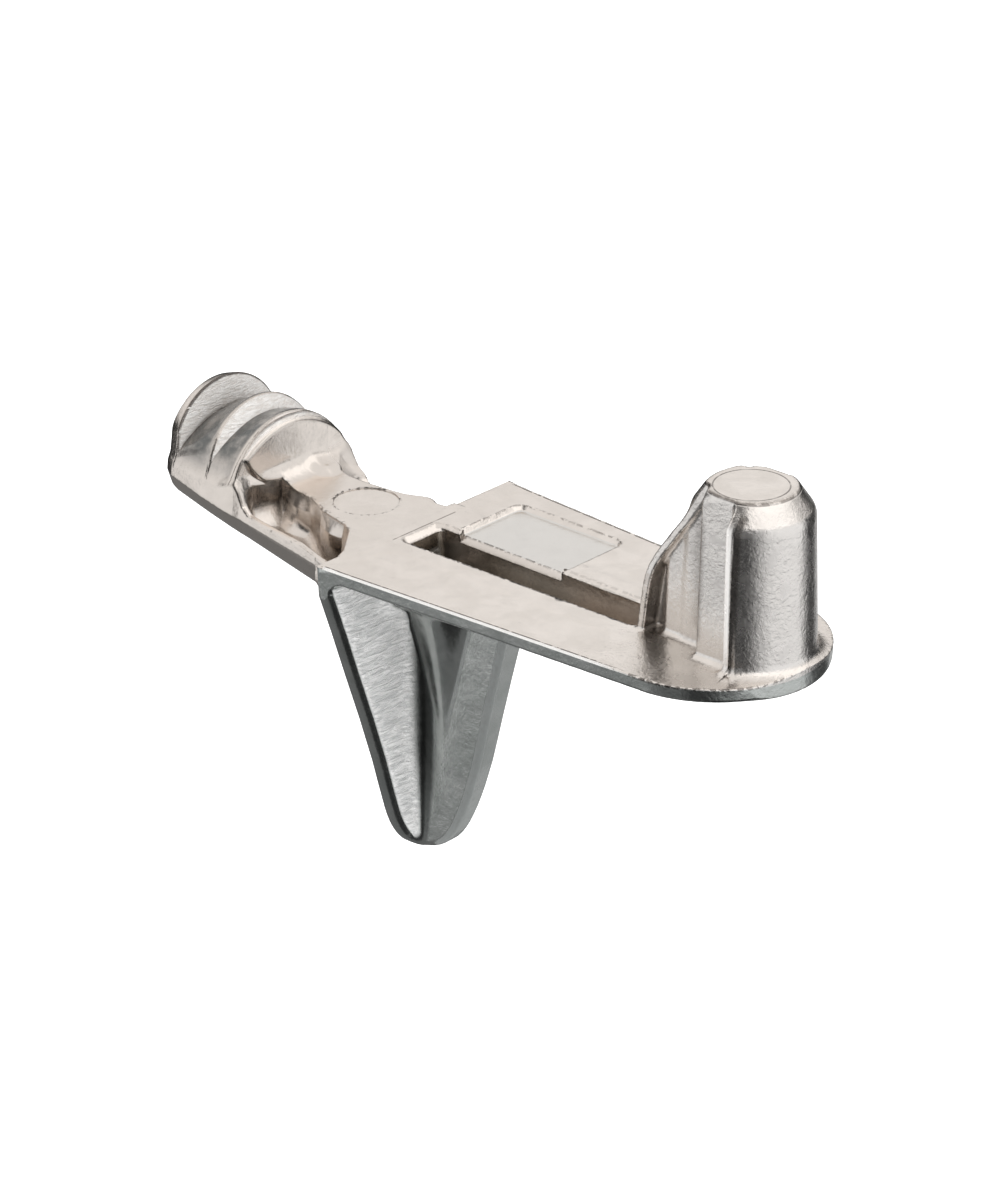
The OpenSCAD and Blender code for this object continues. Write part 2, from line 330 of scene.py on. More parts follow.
def stud_round(x, y, z):
    r = np.hypot(x - SX, y)
    b = rmax((r - 64.8 + 0.034 * z) * 0.999, (r - 59.6) * 0.82 + (z - 147.0) * 0.573, 3.0)
    return rmax(b, z - 170.6, 1.8)


def stud(x, y, z):
    ay = np.abs(y)
    rd = stud_round(x, y, z)
    # the round front, ending in a lip with a shallow gutter behind it
    lipped = rmax(rd, 445.4 - x, 3.6)
    lipped = rmax(lipped, np.where(x < 454, ay - 57.5, -30.0), 3.0)
    gutter = 5.0 - np.hypot(x - 457.6, ay - 62.5)
    lipped = rmax(lipped, gutter, 2.0)
    flat = rmax(rmax(rd, ay - 44.6 + 0.032 * (z - 80), 4.0), 404.0 - x, 3.0)
    core = rmax(rd, ay - 24.0, 3.0)
    ramp = poly(x, z, RAMP)
    col = rmax(rmax(ay - 27.5 + 0.032 * z, 345.0 - x, 9.0), x - 425.0, 1.0)
    thin = rmax(ay - 15.0, x - 360.0, 1.0)
    fw = np.interp(z, [0, 62, 95, 140, 171], [36, 36, 32, 28, 26]).astype(F32)
    flange = rmax(rmax(ay - fw, -ramp - 8.0, 2.0), x - 420.0, 1.0)
    back = rmin(rmin(col, thin, 5.0), flange, 5.0)
    back = rmax(back, ramp, 2.2)
    back = rmax(back, z - 170.6, 1.8)
    s = rmin(lipped, flat, 5.0)
    s = rmin(s, core, 5.0)
    s = rmin(s, back, 8.0)
    s = np.maximum(s, np.where(x > 428, rd, z - 170.6))
    return rmax(s, -z - 10.0, 1.0)


def solid(x, y, z):
    p = body_plate(x, y, z)
    n = in_box(x, y, z, (-286, -86, -110), (12, 86, 90), plug, 30)
    p = rmin(p, n, 0.8)
    s = in_box(x, y, z, (320, -68, -10), (500, 68, 172), stud, 34)
    foot = np.interp(x, [320, 338, 350, 396, 404, 440, 452, 470], [5, 5, 12, 11, 11, 12, 17, 18]).astype(F32)
    keep = np.maximum(plate2d(x, y), -60.0)
    p = rmin(p, s, foot)
    return np.where(x > 300, np.maximum(p, keep), p)


def field(x, y, z):
    out = np.empty(x.shape, F32)
    n = 400000
    for i in range(0, x.size, n):
        out[i:i + n] = solid(x[i:i + n], y[i:i + n], z[i:i + n])
    return out


def gradient(x, y, z, e):
    gx = field(x + e, y, z) - field(x - e, y, z)
    gy = field(x, y + e, z) - field(x, y - e, z)
    gz = field(x, y, z + e) - field(x, y, z - e)
    g = np.stack([gx, gy, gz], 1).astype(np.float64)
    g /= np.maximum(np.linalg.norm(g, axis=1), 1e-9)[:, None]
    return g


# ------------------------------------------------------------------------------------------------
# Dual contouring of the solid on a fine grid that is only filled in near the surface
# ------------------------------------------------------------------------------------------------
def contour(h):
    lo = np.array([-293.0, -147.0, -375.0])
    hi = np.array([510.0, 147.0, 180.0])
    B = 8
    nb = np.ceil((hi - lo) / (h * B)).astype(int)
    n = nb * B + 1
    c = [lo[i] + (np.arange(nb[i]) + 0.5) * h * B for i in range(3)]
    cx, cy, cz = np.meshgrid(*c, indexing="ij")
    fc = field(cx.ravel().astype(F32), cy.ravel().astype(F32), cz.ravel().astype(F32)).reshape(nb)
    reach = h * B * 0.5 * math.sqrt(3) * 1.25 + 2 * h
    F = np.repeat(np.repeat(np.repeat(fc, B, 0), B, 1), B, 2)
    F = np.pad(F, ((0, 1), (0, 1), (0, 1)), mode="edge")
    keep = np.abs(fc) < reach
    # second level
    B2 = 2
    kb = np.argwhere(keep)
    o = np.stack(np.meshgrid(*[np.arange(B // B2)] * 3, indexing="ij"), -1).reshape(-1, 3)
    sub = (kb[:, None, :] * (B // B2) + o[None]).reshape(-1, 3)
    pc = lo + (sub + 0.5) * h * B2
    fs = field(*[pc[:, i].astype(F32) for i in range(3)])
    near = np.abs(fs) < (h * B2 * 0.5 * math.sqrt(3) * 1.3 + 1.2 * h)
    # fill in signs of the sub blocks, then exact values where near
    near_mask = np.zeros(n, bool)
    q = np.stack(np.meshgrid(*[np.arange(B2)] * 3, indexing="ij"), -1).reshape(-1, 3)
    base = sub * B2
    for k in q:
        i = base + k
        F[i[:, 0], i[:, 1], i[:, 2]] = fs
    nb3 = base[near]
    q3 = np.stack(np.meshgrid(*[np.arange(B2 + 1)] * 3, indexing="ij"), -1).reshape(-1, 3)
    for k in q3:
        i = nb3 + k
        near_mask[i[:, 0], i[:, 1], i[:, 2]] = True
    idx = np.argwhere(near_mask)
    P = lo + idx * h
    F[idx[:, 0], idx[:, 1], idx[:, 2]] = field(*[P[:, i].astype(F32) for i in range(3)])
    print("grid", n, "points", len(idx), "t", round(time.time() - T0, 1))
    inside = F < 0
    hp, hn, pts, quads = [], [], [], []
    cells_of = []
    nc = n - 1
    for ax in range(3):
        sl0 = [slice(None)] * 3
        sl1 = [slice(None)] * 3
        sl0[ax] = slice(0, -1)
        sl1[ax] = slice(1, None)
        cross = inside[tuple(sl0)] != inside[tuple(sl1)]
        # keep off the border
        e = np.argwhere(cross)
        ok = np.all((e > 0) & (e < (n - 2)), axis=1)
        e = e[ok]
        i1 = e.copy()
        i1[:, ax] += 1
        f0 = F[e[:, 0], e[:, 1], e[:, 2]]
        f1 = F[i1[:, 0], i1[:, 1], i1[:, 2]]
        a = lo + e * h
        t0 = np.zeros(len(e))
        t1 = np.ones(len(e))
        f0 = f0.astype(np.float64)
        f1 = f1.astype(np.float64)
        outward = f0 >= 0
        t = np.clip(f0 / (f0 - f1), 0.02, 0.98)
        for _ in range(2):
            p = a.copy()
            p[:, ax] += t * h
            ft = field(*[p[:, i].astype(F32) for i in range(3)]).astype(np.float64)
            left = (ft < 0) == (f0 < 0)
            t0 = np.where(left, t, t0)
            f0 = np.where(left, ft, f0)
            t1 = np.where(left, t1, t)
            f1 = np.where(left, f1, ft)
            w = f0 / np.where(np.abs(f0 - f1) < 1e-9, 1e-9, f0 - f1)
            t = t0 + (t1 - t0) * np.clip(w, 0.02, 0.98)
        p = a.copy()
        p[:, ax] += t * h
        pts.append(p)
        u, v = (ax + 1) % 3, (ax + 2) % 3
        cs = []
        for du, dv in ((0, 0), (-1, 0), (-1, -1), (0, -1)):
            cidx = e.copy()
            cidx[:, u] += du
            cidx[:, v] += dv
            cs.append(np.ravel_multi_index(cidx.T, nc))
        cs = np.stack(cs, 1)
        cs[outward] = cs[outward][:, ::-1]
        cells_of.append(cs)
    P = np.concatenate(pts)
    C = np.concatenate(cells_of)
    N = gradient(*[P[:, i].astype(F32) for i in range(3)], 0.35)
    print("edges", len(P), "t", round(time.time() - T0, 1))
    ids, inv = np.unique(C, return_inverse=True)
    inv = inv.reshape(C.shape)
    m = len(ids)
    cnt = np.zeros(m)
    mp = np.zeros((m, 3))
    A = np.zeros((m, 6))
    b = np.zeros((m, 3))
    nn = np.stack([N[:, 0] ** 2, N[:, 0] * N[:, 1], N[:, 0] * N[:, 2], N[:, 1] ** 2, N[:, 1] * N[:, 2], N[:, 2] ** 2], 1)
    d = np.einsum("ij,ij->i", N, P)
    nd = N * d[:, None]
    for k in range(4):
        j = inv[:, k]
        cnt += np.bincount(j, minlength=m)
        for i in range(3):
            mp[:, i] += np.bincount(j, P[:, i], m)
            b[:, i] += np.bincount(j, nd[:, i], m)
        for i in range(6):
            A[:, i] += np.bincount(j, nn[:, i], m)
    mp /= cnt[:, None]
    M = np.empty((m, 3, 3))
    M[:, 0, 0], M[:, 0, 1], M[:, 0, 2] = A[:, 0], A[:, 1], A[:, 2]
    M[:, 1, 0], M[:, 1, 1], M[:, 1, 2] = A[:, 1], A[:, 3], A[:, 4]
    M[:, 2, 0], M[:, 2, 1], M[:, 2, 2] = A[:, 2], A[:, 4], A[:, 5]
    rhs = b - np.einsum("ijk,ik->ij", M, mp)
    w, V = np.linalg.eigh(M)
    good = w > 0.06 * w[:, 2:3]
    wi = np.where(good, 1.0 / np.maximum(w, 1e-9), 0.0)
    x = np.einsum("ijk,ik->ij", V, wi * np.einsum("ikj,ik->ij", V, rhs))
    cell = np.stack(np.unravel_index(ids, nc), 1)
    c0 = lo + cell * h
    X = np.clip(mp + x, c0 - 0.1 * h, c0 + 1.1 * h)
    print("cells", m, "t", round(time.time() - T0, 1))
    return X, inv


def largest_part(X, Q):
    """drops loose specks, keeping the one connected shell that is the casting"""
    m = len(X)
    lab = np.arange(m)
    for _ in range(400):
        mn = lab[Q].min(axis=1)
        new = lab.copy()
        for k in range(4):
            np.minimum.at(new, Q[:, k], mn)
        new = new[new]
        if (new == lab).all():
            break
        lab = new
    u, c = np.unique(lab, return_counts=True)
    big = u[c.argmax()]
    print("shells", len(u), sorted(c)[-4:])
    keepv = lab == big
    if len(u) > 1:
        # inner shells far smaller than the casting go
        remap = -np.ones(m, int)
        remap[keepv] = np.arange(keepv.sum())
        Q = Q[keepv[Q[:, 0]]]
        return X[keepv], remap[Q]
    return X, Q


H = 1.5
X, Q = contour(H)
X, Q = largest_part(X, Q)

me = bpy.data.meshes.new("shelf_support_metal")
me.vertices.add(len(X))
me.vertices.foreach_set("co", (X * U).astype(np.float32).ravel())
me.loops.add(len(Q) * 4)
me.loops.foreach_set("vertex_index", Q.astype(np.int32).ravel())
me.polygons.add(len(Q))
me.polygons.foreach_set("loop_start", np.arange(0, len(Q) * 4, 4, dtype=np.int32))
me.update(calc_edges=True)
me.validate()
ob = bpy.data.objects.new("shelf_support_metal", me)
bpy.context.collection.objects.link(ob)
print("mesh faces", len(me.polygons), "t", round(time.time() - T0, 1))

# thin the mesh where it is flat
tri = ob.modifiers.new("tri", "TRIANGULATE")
dec = ob.modifiers.new("dec", "DECIMATE")
dec.ratio = min(1.0, 190000.0 / (2.0 * len(Q)))
dg = bpy.context.evaluated_depsgraph_get()
me2 = bpy.data.meshes.new_from_object(ob.evaluated_get(dg))
ob.modifiers.clear()
ob.data = me2
me2.name = "shelf_support_metal"
print("decimated", len(me2.polygons), "t", round(time.time() - T0, 1))

nv = len(me2.vertices)
co = np.empty(nv * 3, np.float32)
me2.vertices.foreach_get("co", co)
co = co.reshape(-1, 3) / U
me2.polygons.foreach_set("use_smooth", np.ones(len(me2.polygons), bool))
nl = len(me2.loops)
li = np.empty(nl, np.int32)
me2.loops.foreach_get("vertex_index", li)
tri_v = li.reshape(-1, 3)
mid = co[tri_v].mean(axis=1)
fn = np.cross(co[tri_v[:, 1]] - co[tri_v[:, 0]], co[tri_v[:, 2]] - co[tri_v[:, 0]])
fn /= np.maximum(np.linalg.norm(fn, axis=1), 1e-9)[:, None]


def corner_normals():
    """the solid's own normal at each corner, taken a little way in from the corner so that a face
    on a sharp edge keeps its own side's normal"""
    c = co[li]
    m = np.repeat(mid, 3, axis=0)
    v = m - c
    ln = np.maximum(np.linalg.norm(v, axis=1), 1e-6)
    p = c + v * np.minimum(0.34, 1.6 / ln)[:, None]
    g = gradient(p[:, 0].astype(F32), p[:, 1].astype(F32), p[:, 2].astype(F32), 0.3)
    f = np.repeat(fn, 3, axis=0)
    dot = np.einsum("ij,ij->i", g, f)
    # a normal that disagrees with its facet gives way to the facet's
    w = np.clip((dot - 0.55) / 0.25, 0, 1)[:, None]
    g = g * w + f * (1 - w)
    return g / np.maximum(np.linalg.norm(g, axis=1), 1e-9)[:, None]


me2.normals_split_custom_set([tuple(v) for v in corner_normals()])


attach(ob, "root")
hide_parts("shelf_support")

# ------------------------------------------------------------------------------------------------
# Material
# ------------------------------------------------------------------------------------------------
mat = bpy.data.materials.new("nickel_plate")
mat.use_nodes = True
nt = mat.node_tree
nt.nodes.clear()
out = nt.nodes.new("ShaderNodeOutputMaterial")
bsdf = nt.nodes.new("ShaderNodeBsdfPrincipled")
nt.links.new(bsdf.outputs[0], out.inputs[0])
MM = 0.001


def put(sock, v):
    if v is None:
        return
    if hasattr(v, "links"):
        nt.links.new(v, sock)
    else:
        sock.default_value = v


def m(op, a_, b_=None, c_=None, clamp=False):
    n = nt.nodes.new("ShaderNodeMath")
    n.operation = op
    n.use_clamp = clamp
    for i, v in enumerate((a_, b_, c_)):
        put(n.inputs[i], v)
    return n.outputs[0]


def ramp(v, a0, a1, b0=0.0, b1=1.0, smooth=True):
    n = nt.nodes.new("ShaderNodeMapRange")
    n.interpolation_type = "SMOOTHSTEP" if smooth else "LINEAR"
    n.clamp = True
    put(n.inputs[0], v)
    for i, k in enumerate((a0, a1, b0, b1)):
        n.inputs[i + 1].default_value = k
    return n.outputs[0]


def noise_at(vec, scale, detail=2.0, rough=0.5, distort=0.0):
    n = nt.nodes.new("ShaderNodeTexNoise")
    nt.links.new(vec, n.inputs["Vector"])
    n.inputs["Scale"].default_value = scale
    n.inputs["Detail"].default_value = detail
    n.inputs["Roughness"].default_value = rough
    n.inputs["Distortion"].default_value = distort
    return n.outputs["Fac"]


def stretch(vec, sx, sy, sz, rot=(0, 0, 0)):
    n = nt.nodes.new("ShaderNodeMapping")
    nt.links.new(vec, n.inputs["Vector"])
    n.inputs["Scale"].default_value = (sx, sy, sz)
    n.inputs["Rotation"].default_value = rot
    return n.outputs[0]


def mixc(f, a_, b_):
    n = nt.nodes.new("ShaderNodeMix")
    n.data_type = "RGBA"
    put(n.inputs[0], f)
    put(n.inputs[6], a_)
    put(n.inputs[7], b_)
    return n.outputs[2]


tc = nt.nodes.new("ShaderNodeTexCoord")
objv = tc.outputs["Object"]
# position in the solid's own units
scl = nt.nodes.new("ShaderNodeVectorMath")
scl.operation = "SCALE"
nt.links.new(objv, scl.inputs[0])
scl.inputs["Scale"].default_value = 1.0 / U
sp = nt.nodes.new("ShaderNodeSeparateXYZ")
nt.links.new(scl.outputs[0], sp.inputs[0])
px_, py_, pz_ = sp.outputs
P35 = scl.outputs[0]
sn = nt.nodes.new("ShaderNodeSeparateXYZ")
nt.links.new(tc.outputs["Normal"], sn.inputs[0])
nx_, ny_, nz_ = sn.outputs

# cavities and creases are painted darker, as painted shade, and arrises are worn
cav = nt.nodes.new("ShaderNodeAmbientOcclusion")
cav.samples = 8
cav.inputs["Distance"].default_value = 34 * U
cavity_shade = ramp(cav.outputs["AO"], 0.15, 0.75, 1.0, 0.0)
cre = nt.nodes.new("ShaderNodeAmbientOcclusion")
cre.samples = 6
cre.inputs["Distance"].default_value = 4.5 * U
crease_shade = ramp(cre.outputs["AO"], 0.50, 0.86, 1.0, 0.0)
arr = nt.nodes.new("ShaderNodeAmbientOcclusion")
arr.samples = 8
arr.inside = True
arr.inputs["Distance"].default_value = 3.0 * U
arris = ramp(arr.outputs["AO"], 0.80, 0.97, 1.0, 0.0)
bold = ramp(arr.outputs["AO"], 0.89, 0.995, 1.0, 0.0)

# where things are
within = m("MULTIPLY", m("MULTIPLY", ramp(px_, 8.0, 11.0), ramp(px_, 325.0, 328.0, 1.0, 0.0)),
           m("MULTIPLY", ramp(py_, -48.0, -45.0), ramp(py_, 112.0, 114.0, 1.0, 0.0)))
within = m("MULTIPLY", within, ramp(pz_, -50.0, -48.0))
# below the plate's top the plating is painted a cooler, darker copy: painted shade
plate_side = m("MULTIPLY", ramp(pz_, -2.6, -1.2, 1.0, 0.0), ramp(px_, -4.0, -1.0))
plate_side = m("MULTIPLY", plate_side, m("SUBTRACT", 1.0, within))
ay_ = m("ABSOLUTE", py_)
# a band beside the gusset, painted dark as painted shade
dcx = m("SUBTRACT", px_, 16.0)
dcy = m("SUBTRACT", ay_, 13.6)
corner = ramp(m("SQRT", m("ADD", m("MULTIPLY", dcx, dcx), m("MULTIPLY", dcy, dcy))), 14.0, 34.0, 1.0, 0.0)
corner = m("MULTIPLY", corner, m("MULTIPLY", ramp(pz_, -340.0, -230.0), ramp(pz_, -20.0, -12.0, 1.0, 0.0)))
corner = m("MULTIPLY", corner, m("MULTIPLY", ramp(px_, 17.0, 24.0), ramp(ay_, 50.0, 60.0, 1.0, 0.0)))
v_face = m("MULTIPLY", m("MULTIPLY", ramp(px_, 14.2, 15.4), ramp(px_, 21.0, 27.0, 1.0, 0.0)),
           m("MULTIPLY", ramp(pz_, -26.0, -20.0, 1.0, 0.0), ramp(nx_, 0.62, 0.86)))
catch = m("MULTIPLY", ramp(nx_, 0.45, 0.75), ramp(px_, -180.0, -176.0, 1.0, 0.0))
r_floor = m("MULTIPLY", ramp(m("ABSOLUTE", m("ADD", pz_, 5.6)), 0.4, 0.9, 1.0, 0.0),
            m("MULTIPLY", ramp(py_, 18.0, 19.5), ramp(px_, 40.0, 44.0)))
# the walls inside the slot, painted darker as painted shade
slot_in = m("MULTIPLY", ramp(pz_, -16.0, -4.0, 1.0, 0.0),
            m("MULTIPLY", m("MULTIPLY", ramp(px_, 12.0, 16.0), ramp(px_, 320.0, 323.0, 1.0, 0.0)),
              m("MULTIPLY", ramp(py_, -43.0, -41.0), ramp(py_, 19.0, 20.5, 1.0, 0.0))))
slot_in = m("MULTIPLY", slot_in, ramp(pz_, -53.5, -52.5))

# colour
mottle = noise_at(P35, 0.028, 4.0, 0.6, 0.4)
fine = noise_at(P35, 0.35, 3.0, 0.6)
warm = mixc(ramp(mottle, 0.35, 0.68), (0.725, 0.668, 0.615, 1), (0.795, 0.735, 0.682, 1))
warm = mixc(m("MULTIPLY", ramp(px_, -150.0, 330.0, 1.0, 0.0), 0.5), warm, (0.66, 0.595, 0.54, 1))
shaded_side_tone = mixc(ramp(mottle, 0.35, 0.68), (0.470, 0.495, 0.480, 1), (0.555, 0.575, 0.562, 1))
# upright faces lose the warm tint of faces turned up: a painted difference in reflected light
upright_reflection_tint = m("MULTIPLY", ramp(m("ABSOLUTE", nz_), 0.30, 0.75, 0.75, 0.0), ramp(px_, 270.0, 330.0, 0.25, 1.0))
warm = mixc(upright_reflection_tint, warm, (0.760, 0.745, 0.730, 1))
# painted shade: the cooler, darker copy on the plate's sides and the parts below it
col = mixc(plate_side, warm, shaded_side_tone)
scuff = noise_at(stretch(P35, 0.16, 0.11, 0.50, (0.5, 0, 0)), 1.0, 4.0, 0.65, 0.6)
col = mixc(m("MULTIPLY", catch, ramp(scuff, 0.36, 0.60, 0.25, 0.85)), col, (0.99, 0.97, 0.945, 1))
brush_v = noise_at(stretch(P35, 0.30, 0.042, 0.30, (0.12, 0, 0)), 1.0, 4.0, 0.62, 0.9)
brushed = mixc(ramp(brush_v, 0.36, 0.62), (0.70, 0.705, 0.70, 1), (1.0, 0.995, 0.985, 1))
col = mixc(m("MULTIPLY", v_face, 0.95), col, brushed)
col = mixc(m("MULTIPLY", r_floor, 0.9), col, (0.69, 0.665, 0.632, 1))
# the backs of the teeth are painted darker: painted shade
teeth_back_shade = m("MULTIPLY", m("MULTIPLY", ramp(nx_, -0.10, 0.30, 1.0, 0.0), ramp(pz_, 6.0, 38.0)), ramp(px_, -188.0, -184.0, 1.0, 0.0))
teeth_back_shade = m("MULTIPLY", teeth_back_shade, ramp(px_, -274.0, -266.0))
teeth_back_shade = m("MULTIPLY", teeth_back_shade, ramp(noise_at(P35, 0.06, 3.0, 0.6), 0.25, 0.65, 0.55, 0.95))
col = mixc(teeth_back_shade, col, (0.125, 0.13, 0.128, 1))
nook = m("MULTIPLY", m("MULTIPLY", ramp(py_, 20.0, 34.0), ramp(pz_, -24.0, -14.0)), ramp(px_, -150.0, -130.0, 1.0, 0.0))
open_ = m("SUBTRACT", 1.0, m("MULTIPLY", nook, 0.85))
cavity_shade = m("MULTIPLY", cavity_shade, open_)
crease_shade = m("MULTIPLY", crease_shade, open_)
# painted shade in the creases
col = mixc(m("MULTIPLY", crease_shade, 0.60), col, (0.14, 0.12, 0.105, 1))
pocket_in = m("MULTIPLY", m("MULTIPLY", ramp(px_, -4.0, -1.0, 1.0, 0.0), ramp(px_, -184.0, -180.0)), ramp(pz_, -2.5, -0.5, 1.0, 0.0))
# painted shade in the cavities, deeper in the pocket
col = mixc(m("MULTIPLY", cavity_shade, m("ADD", m("MULTIPLY", pocket_in, 0.30), 0.55)), col, (0.155, 0.125, 0.10, 1))
# painted shade on the floor of the pocket
deep = m("MULTIPLY", m("MULTIPLY", pocket_in, ramp(cav.outputs["AO"], 0.35, 0.97, 1.0, 0.0)), ramp(nz_, 0.45, 0.85, 1.0, 0.3))
col = mixc(m("MULTIPLY", m("MULTIPLY", deep, open_), 0.62), col, (0.20, 0.165, 0.135, 1))
# painted shade in the band beside the gusset
col = mixc(m("MULTIPLY", corner, 0.85), col, (0.10, 0.105, 0.10, 1))
# painted shade inside the slot
col = mixc(m("MULTIPLY", slot_in, 0.40), col, (0.26, 0.21, 0.165, 1))

# the lip of the stud is painted bright: a painted highlight
lip_highlight = m("MULTIPLY", m("MULTIPLY", ramp(px_, 443.5, 444.8), ramp(px_, 451.0, 453.5, 1.0, 0.0)), m("MULTIPLY", ramp(ay_, 49.0, 52.0), ramp(pz_, 4.0, 9.0)))
lip_highlight = m("MULTIPLY", lip_highlight, ramp(pz_, 146.0, 156.0, 1.0, 0.0))
col = mixc(m("MULTIPLY", lip_highlight, 0.85), col, (0.955, 0.93, 0.905, 1))
# the creases of the stud, beside the lip and between its flats, are painted dark: painted shade
gutter_shade = m("MULTIPLY", m("MULTIPLY", ramp(px_, 453.0, 455.0), ramp(px_, 458.0, 463.5, 1.0, 0.0)), m("MULTIPLY", ramp(ay_, 40.0, 46.0), ramp(pz_, 5.0, 12.0)))
gutter_shade = m("MULTIPLY", gutter_shade, ramp(pz_, 158.0, 167.0, 1.0, 0.0))
flats_step_shade = m("MULTIPLY", m("MULTIPLY", ramp(px_, 376.0, 400.0), ramp(px_, 404.0, 413.0, 1.0, 0.0)), m("MULTIPLY", ramp(ay_, 20.0, 24.0), ramp(pz_, 14.0, 24.0)))
flats_step_shade = m("MULTIPLY", flats_step_shade, ramp(pz_, 120.0, 158.0, 1.0, 0.0))
col = mixc(m("MAXIMUM", m("MULTIPLY", gutter_shade, 0.72), m("MULTIPLY", flats_step_shade, 0.58)), col, (0.12, 0.10, 0.085, 1))

# nicks along the arrises
nick_n = noise_at(P35, 0.17, 2.0, 0.55, 0.6)
near_rim = m("MULTIPLY", ramp(px_, 300.0, 360.0), ramp(py_, -60.0, -40.0, 1.0, 0.0))
on_head = ramp(px_, -166.0, -163.0, 1.0, 0.0)
nick_t = m("ADD", nick_n, m("MULTIPLY", near_rim, 0.06))
nick_t = m("SUBTRACT", nick_t, m("MULTIPLY", lip_highlight, 0.3))
# along the plate's straight edges the top arris is painted bright, a painted highlight, with a fine dark line inside it
along = m("MULTIPLY", ramp(px_, 5.0, 9.0), ramp(px_, 340.0, 378.0, 1.0, 0.0))
gap = m("MULTIPLY", m("ADD", m("SUBTRACT", ay_, HW0), m("MULTIPLY", px_, math.tan(TAPER))), math.cos(TAPER))
outer = m("MULTIPLY", along, ramp(gap, -12.0, -10.0))
nick_t = m("SUBTRACT", nick_t, m("MULTIPLY", outer, 0.35))
nick_t = m("SUBTRACT", nick_t, m("MULTIPLY", m("MULTIPLY", ramp(px_, -160.0, -150.0), ramp(px_, 2.0, 5.0, 1.0, 0.0)), m("MULTIPLY", ramp(ay_, 60.0, 68.0), 0.10)))
plate_edge_highlight = m("MULTIPLY", m("MULTIPLY", along, ramp(gap, -2.3, -1.5)), m("MULTIPLY", ramp(pz_, -2.8, -1.8), ramp(pz_, 0.2, 0.5, 1.0, 0.0)))
col = mixc(m("MULTIPLY", plate_edge_highlight, 0.78), col, (0.97, 0.955, 0.94, 1))
fine_line = m("MULTIPLY", m("MULTIPLY", along, ramp(m("ABSOLUTE", m("ADD", gap, 3.2)), 0.5, 1.1, 1.0, 0.0)), ramp(pz_, -0.8, -0.3))
fine_line = m("MULTIPLY", fine_line, ramp(noise_at(P35, 0.13, 3.0, 0.6), 0.38, 0.50))
# the nook at the far end of the collar is matt; the front arris of the gusset is matt and painted dark: painted shade
nook_m = m("MULTIPLY", m("MULTIPLY", nook, ramp(py_, 44.0, 54.0)), ramp(px_, -172.0, -169.0))
ribw = m("SUBTRACT", ay_, m("MULTIPLY", m("ADD", pz_, 366.0), 0.013))
gusset_arris_shade = m("MULTIPLY", m("MULTIPLY", ramp(nx_, 0.06, 0.24), ramp(nx_, 0.88, 0.99, 1.0, 0.25)), m("MULTIPLY", ramp(px_, 33.0, 40.0), ramp(pz_, -70.0, -50.0, 1.0, 0.0)))
gusset_arris_shade = m("MULTIPLY", gusset_arris_shade, ramp(ribw, 13.3, 14.3, 1.0, 0.0))
col = mixc(m("MULTIPLY", gusset_arris_shade, 0.85), col, (0.195, 0.207, 0.203, 1))
nick_t = m("ADD", nick_t, m("MULTIPLY", on_head, 0.25))
nick_t = m("ADD", nick_t, m("MULTIPLY", ramp(pz_, 160.0, 166.0), 0.12))
nick_t = m("ADD", nick_t, m("MULTIPLY", within, 0.07))
wide = m("MAXIMUM", on_head, ramp(pz_, 160.0, 166.0))
nick = m("MULTIPLY", ramp(nick_t, 0.52, 0.58), m("MAXIMUM", arris, m("MULTIPLY", bold, wide)))
# hairlines left by the tool: the seam between the neck and the plate, the ejector rings
seam = m("MULTIPLY", ramp(m("ABSOLUTE", m("SUBTRACT", px_, 12.1)), 0.25, 0.9, 1.0, 0.0),
         m("MULTIPLY", ramp(m("ABSOLUTE", py_), 44.0, 47.0, 1.0, 0.0), ramp(pz_, -1.0, -0.5)))
dxs = m("SUBTRACT", px_, 431.5)
dys = m("ADD", py_, 2.7)
rad = m("SQRT", m("ADD", m("MULTIPLY", dxs, dxs), m("MULTIPLY", dys, dys)))
ring = m("MULTIPLY", ramp(m("ABSOLUTE", m("SUBTRACT", rad, 36.1)), 0.3, 1.0, 1.0, 0.0), ramp(pz_, 169.0, 170.0))
hair = m("MAXIMUM", seam, ring)
hair = m("MULTIPLY", hair, ramp(noise_at(P35, 0.10, 2.0), 0.30, 0.55, 0.35, 1.0))
# the worn rim of the stud's top
band = m("MULTIPLY", ramp(m("ABSOLUTE", m("SUBTRACT", pz_, 168.9)), 0.7, 1.7, 1.0, 0.0), ramp(px_, 385.0, 395.0))
band = m("MULTIPLY", band, ramp(noise_at(P35, 0.07, 3.0, 0.6), 0.38, 0.50, 0.15, 1.0))
hair = m("MAXIMUM", hair, band)
dark = m("MAXIMUM", m("MAXIMUM", m("MULTIPLY", fine_line, 0.85), m("MULTIPLY", nick, 0.95)), m("MULTIPLY", hair, 0.62))
col = mixc(dark, col, (0.075, 0.060, 0.050, 1))
nt.links.new(col, bsdf.inputs["Base Color"])

# gloss
brush_c = noise_at(stretch(P35, 0.16, 0.11, 0.50, (0.5, 0, 0)), 1.0, 4.0, 0.65, 0.6)
rough = ramp(noise_at(P35, 0.05, 3.0, 0.6), 0.3, 0.7, 0.17, 0.27, False)
rough = m("ADD", rough, m("MULTIPLY", v_face, 0.20))
rough = m("ADD", rough, m("MULTIPLY", catch, 0.12))
# the skin of the casting is rougher round the stud
skin = m("MULTIPLY", ramp(px_, 285.0, 345.0), m("MULTIPLY", ramp(pz_, 160.0, 168.0, 1.0, 0.0), m("SUBTRACT", 1.0, plate_side)))
rough = m("ADD", rough, m("MULTIPLY", skin, 0.035))
rough = m("ADD", rough, m("MULTIPLY", cavity_shade, 0.06))
nt.links.new(rough, bsdf.inputs["Roughness"])
